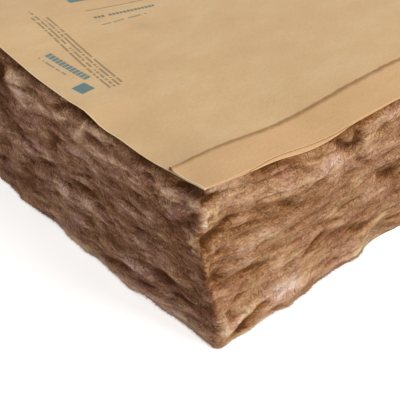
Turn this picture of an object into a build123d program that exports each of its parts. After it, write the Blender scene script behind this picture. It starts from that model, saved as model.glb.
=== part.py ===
# Kraft-faced glass wool batt for a stud bay, lying flat with its facing up.
#
# The batt is a long slab of matted glass wool with one sheet of bitumen-coated kraft paper
# bonded to its upper face. Along both long sides the sheet is pleated: it runs out to the
# side, folds back over itself, and folds out again, so that a stapling flange lies on top
# with its free edge at the side.
#
# Frame: millimetres, origin at the middle of the underside, +X along the batt,
# +Y across it, +Z up through its thickness to the facing.
import os

from build123d import *

# Driving dimensions
batt_length = 2362.0  # 93 in, the height of a stud bay between its plates
batt_width = 584.2  # 23 in, which presses into the 22 1/2 in gap between studs at 24 in centres
wool_thickness = 139.7  # 5 1/2 in, the depth of a 2x6 stud
wool_edge_radius = 6.0  # how far the loose lower and upright edges of the wool are rounded
paper_thickness = 0.3  # kraft paper with its bitumen coat
flange_width = 40.0  # from the side of the batt to the inner fold of the pleat
flange_setback = 1.5  # how far the free edge of the flange stays inside the outer fold
pleat_gap = 0.7  # air that the springy paper leaves between two layers of the pleat

# Heights and places that follow from them
fold_radius = (pleat_gap + paper_thickness) / 2
field_height = wool_thickness + paper_thickness / 2
return_height = field_height + 2 * fold_radius
flange_height = return_height + 2 * fold_radius
side = batt_width / 2
outer_fold = side - paper_thickness / 2 - fold_radius
inner_fold = side - flange_width + paper_thickness / 2 + fold_radius
free_edge = side - flange_setback

# The slab of glass wool. Its upper edges stay square, because the facing is bonded to them.
with BuildPart() as glass_wool_blanket:
    with BuildSketch():
        Rectangle(batt_length, batt_width)
    extrude(amount=wool_thickness)
    upright_edges = glass_wool_blanket.edges().filter_by(Axis.Z)
    lower_edges = glass_wool_blanket.faces().sort_by(Axis.Z)[0].edges()
    fillet(upright_edges + lower_edges, radius=wool_edge_radius)
glass_wool_blanket.part.label = "glass_wool_blanket"

# The kraft facing, one sheet. Half of its section is drawn along the middle of the paper,
# from the middle of the batt to the free edge of the flange, and mirrored.
with BuildPart() as kraft_facing:
    with BuildSketch(Plane.YZ):
        with BuildLine():
            Line((0, field_height), (outer_fold, field_height))
            ThreePointArc(
                (outer_fold, field_height),
                (outer_fold + fold_radius, field_height + fold_radius),
                (outer_fold, return_height),
            )
            Line((outer_fold, return_height), (inner_fold, return_height))
            ThreePointArc(
                (inner_fold, return_height),
                (inner_fold - fold_radius, return_height + fold_radius),
                (inner_fold, flange_height),
            )
            Line((inner_fold, flange_height), (free_edge, flange_height))
            mirror(about=Plane.YZ)
        trace(line_width=paper_thickness)
    extrude(amount=batt_length / 2, both=True)
kraft_facing.part.label = "kraft_facing"

os.makedirs("parts", exist_ok=True)
for piece in (glass_wool_blanket, kraft_facing):
    export_step(piece.part, f"parts/{piece.part.label}.step")
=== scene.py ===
import bpy
import numpy as np
from mathutils import Matrix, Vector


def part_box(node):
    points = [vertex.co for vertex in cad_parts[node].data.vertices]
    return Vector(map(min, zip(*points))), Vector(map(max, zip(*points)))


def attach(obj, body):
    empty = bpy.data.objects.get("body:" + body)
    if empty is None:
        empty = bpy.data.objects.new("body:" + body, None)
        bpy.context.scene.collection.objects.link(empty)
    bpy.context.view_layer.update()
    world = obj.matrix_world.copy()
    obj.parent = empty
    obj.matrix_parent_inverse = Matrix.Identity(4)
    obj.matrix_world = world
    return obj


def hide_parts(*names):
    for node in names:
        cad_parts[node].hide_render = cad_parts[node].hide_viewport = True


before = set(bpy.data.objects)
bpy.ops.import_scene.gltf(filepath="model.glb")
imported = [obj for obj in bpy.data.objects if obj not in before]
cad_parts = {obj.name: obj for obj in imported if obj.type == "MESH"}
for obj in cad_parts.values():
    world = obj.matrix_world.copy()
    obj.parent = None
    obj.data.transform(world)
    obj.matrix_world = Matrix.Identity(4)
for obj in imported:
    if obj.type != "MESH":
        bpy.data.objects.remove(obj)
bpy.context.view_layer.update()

# Shapes are worked out in millimetres and go into the meshes in metres.
mm = 0.001
woolLow, woolHigh = (np.array(corner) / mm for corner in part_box("glass_wool_blanket"))
endX = woolLow[0]  # the photographed cut end
sideY = woolLow[1]  # the photographed long side
halfLength, halfWidth, woolTop = woolHigh


# Small helpers in numpy

# One hill: e to the minus squared distance from a centre, in radii.
def hill(place, centre, radius):
    return np.exp(-(((place - centre) / radius) ** 2))


# Hills along a line: each adds its weight times its amount times a hill.
def addHills(total, hills, along, weight=1):
    for centre, radius, amount in hills:
        total = total + weight * amount * hill(along, centre, radius)
    return total


# Hills over a face: each adds its weight times its amount times a hill in each of two directions.
def addMounds(total, mounds, along, up, weight=1):
    for centre, level, radius, radiusUp, amount in mounds:
        total = total + weight * amount * hill(along, centre, radius) * hill(up, level, radiusUp)
    return total


# A soft step: 0 below low, 1 above high, and 3t^2 - 2t^3 between.
def softStep(value, low, high):
    t = np.clip((value - low) / (high - low), 0, 1)
    return t * t * (3 - 2 * t)


# Gradient noise, about -1 to 1: each corner of the unit cell has a random direction, its dot
# product with the way from that corner is taken, and the eight are blended by 6t^5 - 15t^4 + 10t^3.
def latticeNoise(points, seed):
    random = np.random.default_rng(seed)
    directions = random.normal(size=(256, 3))
    directions /= np.linalg.norm(directions, axis=1)[:, None]
    shuffle = random.permutation(256)
    cell = np.floor(points).astype(np.int64)
    local = points - cell
    fade = local**3 * (local * (local * 6 - 15) + 10)
    total = np.zeros(points.shape[:-1])
    for corner in np.ndindex(2, 2, 2):
        offset = np.array(corner)
        key = (cell + offset) & 255
        index = shuffle[(shuffle[(shuffle[key[..., 0]] + key[..., 1]) & 255] + key[..., 2]) & 255]
        weight = np.prod(np.where(offset, fade, 1 - fade), axis=-1)
        total += weight * np.sum(directions[index] * (local - offset), axis=-1)
    return total * 1.5


# Layers of that noise, each half as large and half as strong as the one before, over the sum of
# their strengths. The size is one number or one for each axis, in mm.
def cloud(points, size, seed, layers):
    scaled = points / np.array(size, float)
    total = sum(latticeNoise(scaled * 2**k, seed + k) / 2**k for k in range(layers))
    return total / (2 - 0.5 ** (layers - 1))


# That noise as a dictionary gives it: strength, size, seed and layers, times a weight.
def givenNoise(given, place, weight=1):
    strength, size, seed, layers = given
    return weight * strength * cloud(place, size, seed, layers)


# Places along a line whose spacing follows stepAt: the integral of 1 / step rises by one each time.
def gradedPlaces(start, end, stepAt):
    fine = np.linspace(start, end, 4000)
    count = np.concatenate([[0], np.cumsum(np.diff(fine) / stepAt((fine[1:] + fine[:-1]) / 2))])
    total = max(1, int(round(count[-1])))
    return np.interp(np.linspace(0, count[-1], total + 1), count, fine)


# A mesh object from points in millimetres, lists of faces and values for each point. The faces of
# one list all have the same number of corners.
def makeMesh(name, points, faceLists, material, values=None):
    mesh = bpy.data.meshes.new(name)
    loops = np.concatenate([np.asarray(faces).ravel() for faces in faceLists])
    sizes = np.concatenate([np.full(len(faces), len(faces[0])) for faces in faceLists])
    starts = np.concatenate([[0], np.cumsum(sizes)[:-1]])
    mesh.vertices.add(len(points))
    mesh.loops.add(len(loops))
    mesh.polygons.add(len(sizes))
    mesh.vertices.foreach_set("co", (points * mm).astype(np.float32).ravel())
    mesh.loops.foreach_set("vertex_index", loops.astype(np.int32))
    mesh.polygons.foreach_set("loop_start", starts.astype(np.int32))
    mesh.polygons.foreach_set("use_smooth", np.ones(len(sizes), bool))
    mesh.update(calc_edges=True)
    for key, value in (values or {}).items():
        kind, field = ("FLOAT", "value") if value.ndim == 1 else ("FLOAT_VECTOR", "vector")
        mesh.attributes.new(key, kind, "POINT").data.foreach_set(field, value.astype(np.float32).ravel())
    mesh.validate()
    mesh.materials.append(material)
    piece = bpy.data.objects.new(name, mesh)
    bpy.context.collection.objects.link(piece)
    return piece


# Quads of a grid of points, with wrap where the last column meets the first again.
def gridQuads(columns, rows, wrap=False):
    index = np.arange(columns * rows).reshape(columns, rows)
    nextColumn = np.roll(index, -1, axis=0)
    if not wrap:
        index, nextColumn = index[:-1], nextColumn[:-1]
    quads = np.stack([index[:, :-1], nextColumn[:, :-1], nextColumn[:, 1:], index[:, 1:]], axis=-1)
    return quads.reshape(-1, 4)


# Nodes for materials

# Adds a node, sets its plain properties, and sets or links its inputs.
def addNode(tree, kind, inputs=None, **properties):
    node = tree.nodes.new(kind)
    for key, value in properties.items():
        setattr(node, key, value)
    for key, value in (inputs or {}).items():
        if isinstance(value, bpy.types.NodeSocket):
            tree.links.new(value, node.inputs[key])
        else:
            node.inputs[key].default_value = value
    return node


# One step of arithmetic on up to three numbers or sockets.
def mathNode(tree, operation, first, second=0.0, third=0.0, clamp=False):
    inputs = {0: first, 1: second, 2: third}
    return addNode(tree, "ShaderNodeMath", inputs, operation=operation, use_clamp=clamp).outputs[0]


# One step of arithmetic on vectors.
def vectorNode(tree, operation, *given):
    inputs = dict(enumerate(given))
    return addNode(tree, "ShaderNodeVectorMath", inputs, operation=operation).outputs[0]


# A value spread from low..high to toLow..toHigh, and held at those ends.
def rangeNode(tree, value, low=0.0, high=1.0, toLow=0.0, toHigh=1.0):
    inputs = {"Value": value, "From Min": low, "From Max": high, "To Min": toLow, "To Max": toHigh}
    return addNode(tree, "ShaderNodeMapRange", inputs).outputs[0]


# Noise with the given number of its cells per metre along each axis, spread from low..high to 0..1.
def noiseNode(tree, place, perMetre, detail, roughness, distortion=0.0, spread=(0.3, 0.7)):
    inputs = {"Vector": vectorNode(tree, "MULTIPLY", place, perMetre), "Scale": 1.0, "Detail": detail,
              "Roughness": roughness, "Distortion": distortion}
    return rangeNode(tree, addNode(tree, "ShaderNodeTexNoise", inputs).outputs[0], *spread)


# A place pushed about by noise: the noise's colour minus a half, times the push along each axis.
def shakenPlace(tree, place, perMetre, push):
    noise = addNode(tree, "ShaderNodeTexNoise", {"Vector": place, "Scale": perMetre, "Detail": 2.0})
    shift = vectorNode(tree, "SUBTRACT", noise.outputs["Color"], (0.5, 0.5, 0.5))
    return vectorNode(tree, "MULTIPLY_ADD", shift, push, place)


# Colour first where the factor is 0 and second where it is 1, and past them where it isn't clamped.
def mixColours(tree, factor, first, second, clamped=True):
    return addNode(tree, "ShaderNodeMix", {0: factor, 6: first, 7: second},
                   data_type="RGBA", clamp_factor=clamped).outputs[2]


# A value that the mesh carries at its points: a number, or a vector where that is asked for.
def attributeNode(tree, name, output="Fac"):
    return addNode(tree, "ShaderNodeAttribute", attribute_name=name).outputs[output]


# A colour written as 0-255 screen values, as linear light.
def screenColour(red, green, blue):
    share = np.array([red, green, blue]) / 255
    linear = np.where(share <= 0.04045, share / 12.92, ((share + 0.055) / 1.055) ** 2.4)
    return (*linear.tolist(), 1.0)


# A colour ramp: straight blends between stops of a place from 0 to 1 and a screen colour.
def rampNode(tree, factor, stops):
    node = addNode(tree, "ShaderNodeValToRGB", {"Fac": factor})
    elements = node.color_ramp.elements
    while len(elements) < len(stops):
        elements.new(0.5)
    for element, (place, colour) in zip(elements, stops):
        element.position = place
        element.color = screenColour(*colour)
    return node.outputs["Color"]


# A new node group with the given sockets, as name and kind. Gives the group and its inputs.
def newGroup(name, inputs, outputs):
    tree = bpy.data.node_groups.new(name, "ShaderNodeTree")
    for inOut, sockets in (("INPUT", inputs), ("OUTPUT", outputs)):
        for socket, kind in sockets:
            tree.interface.new_socket(name=socket, in_out=inOut, socket_type="NodeSocket" + kind)
    return tree, addNode(tree, "NodeGroupInput").outputs


# A material of one Principled shader with the given plain inputs. Gives it, its tree and the shader.
def newMaterial(name, inputs):
    material = bpy.data.materials.new(name)
    material.use_nodes = True
    material.node_tree.nodes.clear()
    tree = material.node_tree
    shader = addNode(tree, "ShaderNodeBsdfPrincipled", inputs)
    addNode(tree, "ShaderNodeOutputMaterial", {"Surface": shader.outputs[0]})
    return material, tree, shader


# 1 for the rays by which the camera sees a surface, straight, mirrored or through glass, and 0 for
# the rays that carry light between surfaces.
def seenNode(tree):
    rays = addNode(tree, "ShaderNodeLightPath").outputs
    seen = mathNode(tree, "MAXIMUM", rays["Is Camera Ray"], rays["Is Glossy Ray"])
    return mathNode(tree, "MAXIMUM", seen, rays["Is Transmission Ray"])


# Camera, floor and light

cameraSet = {
    "fromCorner": (-324.1, -374.3, 502.7),  # mm from the floor under the photographed corner
    "azimuth": 40.23,  # degrees that the view turns from +Y towards +X
    "elevation": 36.3,  # degrees that it looks down
    "roll": -0.51,
    "lens": 84.5,
    "clipStart": 0.01,  # metres
}


# Puts an object into the scene: its own x, y and z ways and its place are the matrix's columns.
def placeObject(thing, right, up, back, place):
    matrix = np.eye(4)
    matrix[:3] = np.stack([right, up, back, place], axis=-1)
    thing.matrix_world = Matrix(matrix.tolist())
    bpy.context.collection.objects.link(thing)


# The view's forward way is (sin a cos e, cos a cos e, -sin e), and roll turns right and up about it.
def setCamera():
    azimuth, elevation, roll = (np.radians(cameraSet[key]) for key in ("azimuth", "elevation", "roll"))
    forward = np.array([np.sin(azimuth) * np.cos(elevation),
                        np.cos(azimuth) * np.cos(elevation),
                        -np.sin(elevation)])
    level = np.array([np.cos(azimuth), -np.sin(azimuth), 0.0])
    upright = np.cross(level, forward)
    right = np.cos(roll) * level + np.sin(roll) * upright
    up = -np.sin(roll) * level + np.cos(roll) * upright
    place = (np.array([endX, sideY, 0.0]) + cameraSet["fromCorner"]) * mm
    camera = bpy.data.objects.new("studioCamera", bpy.data.cameras.new("studioCamera"))
    camera.data.lens = cameraSet["lens"]
    camera.data.clip_start = cameraSet["clipStart"]
    placeObject(camera, right, up, -forward, place)
    bpy.context.scene.camera = camera
    bpy.context.scene.view_settings.view_transform = "Standard"


lightSet = {
    "keyAim": (0.5, -1.0, 0.85),  # where the key light stands, seen from the batt
    "keyTarget": (200.0, 60.0),  # mm from the photographed corner, along and across
    "keyDistance": 6.0,  # metres
    "keySize": 3.2,
    "keyPower": 292.0,  # watts
    "keyColour": (1.0, 0.93, 0.84),
    "fillStrength": 0.5,
    "fillColour": (1.0, 0.97, 0.92),
    "floorShade": 0.86,
    "floorReach": 6000.0,  # mm from the middle of the floor to its edges
    "floorGlow": 0.63,  # what the camera sees of the floor beside its own light
}


# White for the seeing rays and a weaker fill for the lighting ones, and a square lamp whose z way
# is the aim and whose place is the target plus the aim times the distance.
def setLight():
    world = bpy.data.worlds.new("studioWorld")
    bpy.context.scene.world = world
    world.use_nodes = True
    tree = world.node_tree
    tree.nodes.clear()
    fill = addNode(tree, "ShaderNodeBackground",
                   {"Color": (*lightSet["fillColour"], 1.0), "Strength": lightSet["fillStrength"]})
    white = addNode(tree, "ShaderNodeBackground", {"Color": (1, 1, 1, 1), "Strength": 1.0})
    mixed = addNode(tree, "ShaderNodeMixShader",
                    {0: seenNode(tree), 1: fill.outputs[0], 2: white.outputs[0]})
    addNode(tree, "ShaderNodeOutputWorld", {"Surface": mixed.outputs[0]})
    data = bpy.data.lights.new("keyLight", "AREA")
    data.energy = lightSet["keyPower"]
    data.size = lightSet["keySize"]
    data.color = lightSet["keyColour"]
    aim = np.array(lightSet["keyAim"]) / np.linalg.norm(lightSet["keyAim"])
    along, across = lightSet["keyTarget"]
    target = np.array([endX + along, sideY + across, woolTop / 2]) * mm
    side = np.cross([0, 0, 1], aim)
    side /= np.linalg.norm(side)
    place = target + aim * lightSet["keyDistance"]
    placeObject(bpy.data.objects.new("keyLight", data), side, np.cross(aim, side), aim, place)


# One square of pale floor, with a glow that only the seeing rays get.
def makeFloor():
    shade, reach = lightSet["floorShade"], lightSet["floorReach"]
    material, tree, shader = newMaterial("paleFloor", {
        "Base Color": (shade, shade, shade, 1), "Roughness": 0.9, "Specular IOR Level": 0.1,
        "Emission Color": (1, 1, 1, 1),
    })
    glow = mathNode(tree, "MULTIPLY", seenNode(tree), lightSet["floorGlow"])
    tree.links.new(glow, shader.inputs["Emission Strength"])
    corners = np.array([[-reach, -reach, 0], [reach, -reach, 0], [reach, reach, 0], [-reach, reach, 0]])
    floor = makeMesh("studioFloor", corners, [np.array([[0, 1, 2, 3]])], material)


# The height of the wool's upper face

topSet = {
    "loft": 1.5,  # mm that the wool is fuller than the level face
    "waves": (1.2, 170, 11, 2),  # the slow waves of the whole face: mm, size, seed, layers of noise
    # hills and dips near the photographed corner:
    # from the cut end, from the long side, radius along, radius across, height in mm
    "hills": (
        (104, 0, 44, 95, -5.8),
        (0, 0, 42, 45, 5.6),
        (0, 65, 60, 42, -4.6),
        (0, 118, 40, 14, -2.6),
        (0, 143, 40, 13, 1.8),
        (0, 23, 16, 14, -2.0),
        (0, 300, 90, 75, 11.0),
        (175, 60, 60, 60, 1.0),
    ),
}


# The level of the CAD face, plus the loft, plus slow noise, plus a hill for each entry of the list.
def topHeight(x, y):
    place = np.stack([x, y, np.zeros_like(x)], axis=-1)
    level = woolTop + topSet["loft"] + givenNoise(topSet["waves"], place)
    return addMounds(level, topSet["hills"], x - endX, y - sideY)


# The glass wool

woolSet = {
    "fineStep": 1.8,  # mm between points near the photographed corner
    "endStep": 3.6,  # on the rest of the cut end
    "coarseStep": 11.0,  # on the rest of the long sides
    "fineReach": 330.0,  # how far from that corner the fine step goes
    "endEase": 60.0,  # mm over which the step grows on the cut end, before that reach
    "sideEase": 300.0,  # and on the long sides, past it
    "rowStep": 1.85,
    "cornerRadius": 4.0,  # seen from above
    "lowerRadius": 3.0,  # lower edge
    "lowerTuck": 1.0,  # mm that the wool draws in at the floor
    "tuckRise": 14.0,  # mm over the floor where that ends
    "upperRadius": 4.0,  # upper edge
    # noises: strength, in mm where nothing else is said, size along, across and up, seed, layers
    "lumps": (2.0, (85, 85, 50), 110, 2),
    "layers": (2.0, (60, 60, 11), 120, 2),
    "tufts": (1.6, (22, 22, 7), 130, 3),
    "strands": (0.6, (18, 18, 3), 140, 2),
    # how the tufts, strands and pits are stirred off the layers: along, across and up
    "stirs": ((2.4, 17, 170, 2), (2.4, 17, 174, 2), (1.3, 17, 178, 2)),
    "pitNoise": (1.0, (34, 34, 5), 146, 2),
    "openNoise": (1.0, (38, 38, 22), 160, 2),  # where the splits are open
    "splitWander": (0.4, 60, 150, 1),  # as a share of the splits' spacing
    "broadWaves": (7.0, (95, 95, 60), 100, 2),  # these three bend the layers up and down
    "fineWaves": (3.0, (30, 30, 22), 103, 2),
    "swirl": (7.0, (12, 12, 15), 106, 2),  # only at the photographed corner
    "markBreaks": (0.9, (14, 14, 6), 180, 3),  # as a share of a mark's strength
    "markWander": (2.0, (22, 22, 11), 186, 2),
    "farMarks": (0.6, (50, 50, 14), 190, 2),  # tone, in place of marks on the rest of the batt
    "tuckBreaks": (0.8, (22, 22, 40), 195, 2),  # as a share of the tuck and of the painted shade under the paper
    "layerShares": (0.7, 0.3),  # how much of the layers shows in the tone, and how much doesn't
    "pits": 1.2,  # mm, how deep the small hollows are
    "pitRange": (0.2, 0.6),  # noise at which a pit begins, and at which it is full
    "splits": 3.4,  # mm, how deep the splits between the layers go
    "splitWidth": 1.4,
    "splitSpacing": 16.0,
    "openRange": (-0.1, 0.4),  # noise at which a split begins to open, and at which it is open
    "fan": 4.0,  # mm that the layers spread up and down at the photographed corner
    "fanReach": 34.0,
    "cornerCalm": 0.7,  # share of the splits and layers that is missing at that corner
    "calmReach": 28.0,
    "swirlReach": 15.0,
    "endTilt": 0.13,  # how steeply the layers fall along the cut end, away from that corner
    "tiltWidth": 300.0,  # how far along the cut end they go on falling
    "tiltDepth": 60.0,  # how far into the batt
    "cornerSwing": 7.0,  # mm, how far the upright corner sways to one side and then to the other
    "swingStart": 5.0,  # the height of the first, in mm
    "swingRun": 105.0,  # and how much higher the second is
    "swingWay": (0.76, -0.65),  # the way of the first, along and across
    "cornerReach": 60.0,
    "markDepth": 3.6,  # mm that a dark mark lies back
    "markSwell": 1.4,  # mm that a light mark stands out
    "markRise": (2.0, 14.0),  # heights between which that grows from nothing to the whole of it
    "farMarkRange": (220.0, 320.0),  # where those in place of marks begin on the long side, and are full
    "hollowDepth": 3.2,  # mm of relief for one step of tone, painted as shade in the hollows and light on the rises
    "hollowTones": (-1.0, 0.5),  # the darkest and the lightest tone that the relief gives
    # on the long side: from the cut end, height, radius along, radius up, mm outwards
    "sideSwells": (
        (45, 10, 60, 24, 2.6),
        (15, 3, 12, 14, -1.2),
        (32, 3, 8, 10, 1.3),
        (55, 3, 12, 12, -1.0),
        (78, 3, 12, 10, 4.0),
        (99, 3, 9, 10, 2.2),
        (128, 8, 34, 26, 1.2),
        (164, 3, 10, 12, 2.5),
        (196, 2, 20, 26, -12.0),
        (235, 2, 40, 24, -4.0),
        (108, 112, 44, 14, 3.5),
    ),
    # on the cut end: from the long side, height, radius along, radius up, mm outwards
    "endSwells": (
        (165, 14, 95, 30, 3.6),
        (42, 12, 14, 20, -1.6),
        (10, 10, 18, 20, 0.8),
        (85, 9, 40, 16, 3.2),
        (137, 8, 14, 20, -2.2),
        (200, 3, 14, 14, -2.6),
        (23, 3, 8, 14, -1.2),
        (245, 10, 30, 30, 3.6),
        (250, 100, 60, 30, 2.0),
        (330, 70, 60, 60, 2.0),
    ),
    # light veils (strength above 0) and dark hollows (below 0) on the long side, each partly the wool's
    # own tone and partly painted light and shade, such as the painted shadows just under the paper:
    # from the cut end, height, radius along, radius up, rise along, strength, warmth (1 tan, -1 pinkish
    # grey)
    "sideMarks": (
        (121, 117, 13, 8, -0.2, 1.25, -0.3),
        (98, 112, 12, 4, 0.0, 1.1, -0.1),
        (72, 113, 16, 3, -0.2, 1.1, -0.3),
        (74, 104, 16, 3, -0.2, -0.4, 0.0),
        (58, 116, 3, 3, 0.0, 0.8, 0.0),
        (5, 117, 3, 7, 0.0, 1.8, 0.4),
        (24, 111, 8, 3.5, -0.1, -1.1, 0.2),
        (40, 105, 8, 3.5, 0.0, 0.7, 0.1),
        (14, 120, 2, 7, 0.0, 0.5, 0.7),
        (4, 84, 2.2, 9, 0.0, 0.6, 0.2),
        (11, 90, 2, 8, 0.0, 0.5, -0.2),
        (4, 126, 9, 6, -0.2, 0.35, 0.7),
        (70, 122, 60, 12, -0.1, 0.2, 0.1),
        (58, 124, 18, 5, -0.1, -0.4, 0.0),
        (6, 136, 8, 4, -0.1, -2.1, 0.3),
        (9, 144, 8, 2.5, 0.0, 0.7, -0.3),
        (24, 137, 12, 4, 0.0, 0.6, 0.0),
        (27, 131, 10, 5, 0.0, 0.4, 0.3),
        (12, 104, 9, 5, 0.2, -1.5, 0.3),
        (7, 70, 9, 60, 0.0, -0.22, 0.0),
        (6, 97, 6, 6, 0.2, -1.4, 0.0),
        (36, 90, 15, 5, -0.1, -0.6, 0.0),
        (11, 64, 9, 4, -0.1, -0.9, 0.4),
        (4, 73, 5, 5, 0.0, 0.7, 0.2),
        (6, 24, 4, 11, -0.7, 1.3, 0.3),
        (13, 28, 5, 4, 0.0, -0.6, 0.0),
        (21, 10, 7, 4, 0.3, -1.7, 0.0),
        (58, 138.5, 13, 2.5, -0.1, -0.6, 0.3),
        (60, 131, 9, 3, -0.3, -0.7, 0.1),
        (0, 105, 5, 7, 0.0, -0.3, 0.9),
        (18, 120, 7, 5, 0.0, 0.2, 0.9),
        (76, 98, 14, 4, -0.4, -0.6, 0.1),
        (89, 98, 9, 4, -0.1, 0.7, 0.0),
        (55, 82, 13, 4, -0.2, 0.7, 0.1),
        (73, 86, 11, 5, -0.1, 0.4, 0.0),
        (34, 80, 10, 4, -0.3, 0.5, -0.7),
        (109, 44, 9, 3, 0.5, -1.5, 0.0),
        (50, 53, 10, 4, -0.1, -0.6, 0.0),
        (39, 66, 8, 4, 0.0, 0.7, 0.0),
        (20, 74, 12, 4, -0.1, -0.6, 0.2),
        (16, 34, 13, 4, -0.3, 0.6, 0.0),
        (75, 38, 8, 3.5, 0.0, -0.8, 0.0),
        (90, 45, 7, 4, 0.0, 0.7, 0.0),
        (80, 65, 10, 2.5, 0.0, 0.4, 0.0),
        (133, 42, 14, 4, -0.1, -0.5, -0.3),
        (159, 32, 14, 5, -0.25, -1.2, 0.0),
        (188, 21, 11, 8, 0.0, 0.5, 0.0),
        (24, 39, 6, 3, 0.0, -0.6, 0.3),
        (80, 20, 22, 10, -0.12, 1.3, -0.4),
        (32, 56, 16, 4.5, 0.0, -1.0, 0.5),
        (24, 21, 14, 3, 0.25, 1.3, -0.2),
        (52, 23, 10, 2.5, 0.0, 0.3, -0.2),
        (46, 20, 10, 3, 0.0, -1.1, 0.0),
        (51, 13, 9, 3, 0.0, 0.8, 0.0),
        (66, 20, 14, 6, 0.0, 0.5, 0.0),
        (60, 5, 8, 3, 0.0, -0.8, 0.0),
        (68, 48, 7, 4, 0.0, 0.7, 0.0),
        (62, 11, 9, 4, 0.0, 0.8, 0.0),
        (33, 14, 10, 3, 0.08, -0.8, 0.0),
        (38, 3, 24, 4.5, 0.0, 1.2, 0.0),
        (117, 7, 10, 5, 0.0, 0.8, 0.0),
        (198, 24, 6, 6, 0.0, 0.8, 0.0),
        (186, 5, 24, 8, 0.0, 1.1, 0.0),
        (150, 9, 18, 5, 0.0, 1.0, 0.0),
        (14, 8, 9, 5, -0.1, 0.2, 1.0),
        (197, 68, 10, 8, -0.6, -1.1, 0.0),
        (181, 77, 9, 5, -0.4, -0.9, 0.1),
        (155, 88, 9, 4, 0.0, 0.5, 0.0),
        (155, 102, 11, 2.4, -0.65, -0.9, 0.0),
        (162, 107, 8, 3, -0.5, 0.3, 0.0),
        (147, 126, 5, 9, -0.3, -1.8, 0.2),
        (128, 128, 8, 3.5, -0.5, -1.8, 0.3),
        (139, 121, 8, 4, -0.1, -1.6, 0.2),
        (168, 128, 18, 10, 0.0, 0.7, 0.2),
        (187, 140, 9, 2.5, 0.0, -1.0, 0.0),
        (190, 107, 10, 6, 0.1, 0.3, 1.0),
        (184, 135, 11, 4, 0.0, 0.7, -0.6),
        (177, 125, 5, 3, -0.2, -0.9, 0.5),
        (171, 76, 6, 3, -0.1, 0.5, 0.0),
        (138, 97, 12, 5, -0.2, -0.5, 0.0),
        (102, 84, 9, 6, 0.3, -0.6, 0.2),
        (136, 50, 9, 4, -0.3, 0.8, -0.2),
        (129, 63, 11, 4, -0.3, 1.2, 0.0),
        (120, 103, 9, 4, -0.2, 0.8, 0.0),
        (101, 105, 6, 3, 0.0, -0.6, 0.0),
        (111, 54, 8, 3, 0.0, 0.8, 0.0),
        (153, 15, 15, 5, -0.1, 0.5, 0.3),
        (86, 125, 13, 3, -0.45, -0.9, 0.3),
        (70, 128, 8, 2.5, 0.0, -0.7, 0.0),
        (99, 129, 9, 4, -0.2, 0.6, 0.0),
        (9, 51, 6, 5, -0.2, 0.5, 0.4),
    ),
    # the same on the cut end, from the long side
    "endMarks": (
        (185, 70, 90, 60, 0.0, 0.2, 0.0),
        (236, 119, 17, 9, 0.1, 1.3, -0.2),
        (250, 129, 14, 3, -0.6, 0.7, 0.4),
        (269, 124, 9, 8, -0.4, -1.9, 0.3),
        (284, 111, 17, 6, -0.3, -0.9, 0.2),
        (275, 95, 12, 7, 0.3, -0.7, 0.2),
        (235, 47, 9, 5, 0.0, -0.8, 0.0),
        (243, 79, 11, 4, 0.0, -0.9, 0.0),
        (243, 40, 16, 4, -0.1, -0.5, 0.0),
        (246, 134, 12, 4, -0.1, 0.8, 0.6),
        (215, 139, 12, 2.5, 0.0, -0.8, 0.3),
        (203, 117, 13, 5, 0.1, 0.95, 0.2),
        (180, 128, 13, 4.5, -0.45, -1.3, 0.3),
        (160, 132, 7, 4, 0.0, -0.6, 0.3),
        (180, 122, 11, 4, -0.1, 1.3, 0.5),
        (169, 120, 7, 4, -0.5, -0.3, 0.0),
        (143, 131, 4.5, 2.4, -1.4, 1.4, 0.3),
        (128, 131, 17, 3.5, -0.1, 1.2, 0.6),
        (145, 138, 14, 4, 0.0, -1.2, 0.2),
        (130, 122, 12, 2.5, 0.0, -1.0, -0.3),
        (148, 121, 7, 4, 0.0, 0.8, 0.3),
        (159, 116, 9, 4, 0.1, 0.7, 0.3),
        (128, 113, 13, 4, 0.0, 0.8, -0.3),
        (101, 118, 15, 2.8, -0.1, 0.9, 0.0),
        (88, 109, 9, 4, 0.0, 0.4, 0.0),
        (63, 107, 10, 4, 0.0, -0.5, 0.0),
        (193, 90, 6, 13, 0.0, -0.9, 0.0),
        (211, 77, 9, 4, 0.1, 0.4, -0.6),
        (204, 63, 14, 4, -0.35, -0.9, 0.0),
        (182, 48, 13, 5, 0.1, 0.8, -0.2),
        (93, 78, 10, 4, 0.0, 0.5, 0.0),
        (50, 78, 12, 4, 0.0, 0.5, 0.0),
        (110, 95, 12, 4, 0.0, -0.5, 0.2),
        (134, 92, 9, 4, 0.0, 0.4, -0.5),
        (158, 96, 11, 5, 0.1, 0.5, -0.7),
        (157, 65, 20, 3.5, 0.0, -1.1, 0.2),
        (146, 53, 17, 4.5, 0.1, 0.9, -0.3),
        (145, 37, 14, 4, 0.2, -0.6, 0.0),
        (42, 126, 14, 4, -0.1, 0.9, 0.6),
        (29, 123, 8, 4, -0.3, 0.9, 0.7),
        (16, 138, 18, 3, -0.1, -1.2, 0.2),
        (55, 113, 6, 2.2, 0.5, -1.1, 0.0),
        (33, 112, 9, 5, 0.0, 0.5, -0.9),
        (22, 106, 10, 4, -0.3, -0.6, -0.3),
        (42, 100, 20, 4, -0.1, -0.35, 0.2),
        (25, 26, 18, 3, 0.0, -0.6, 0.0),
        (99, 20, 13, 3, -0.1, -0.9, 0.0),
        (153, 31, 12, 5, 0.0, 0.6, -0.2),
        (35, 80, 32, 26, 0.0, -0.2, 0.2),
        (84, 63, 11, 4, 0.0, -0.35, -0.2),
        (92, 28, 14, 5, 0.0, 0.55, -0.7),
        (113, 14, 10, 3, 0.0, -0.4, 0.0),
        (160, 9, 36, 6, 0.0, 0.7, 0.0),
        (114, 34, 10, 5, 0.0, -0.4, -0.2),
        (50, 35, 15, 4, 0.2, -0.7, -0.3),
        (58, 3, 40, 7, 0.0, 1.3, 0.0),
        (135, 3, 40, 6, 0.0, 1.0, 0.0),
        (240, 8, 60, 9, 0.0, 0.5, 0.0),
        (70, 8, 20, 3, -0.05, 0.3, 0.4),
        (202, 14, 14, 4, 0.0, 0.4, 0.3),
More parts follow.
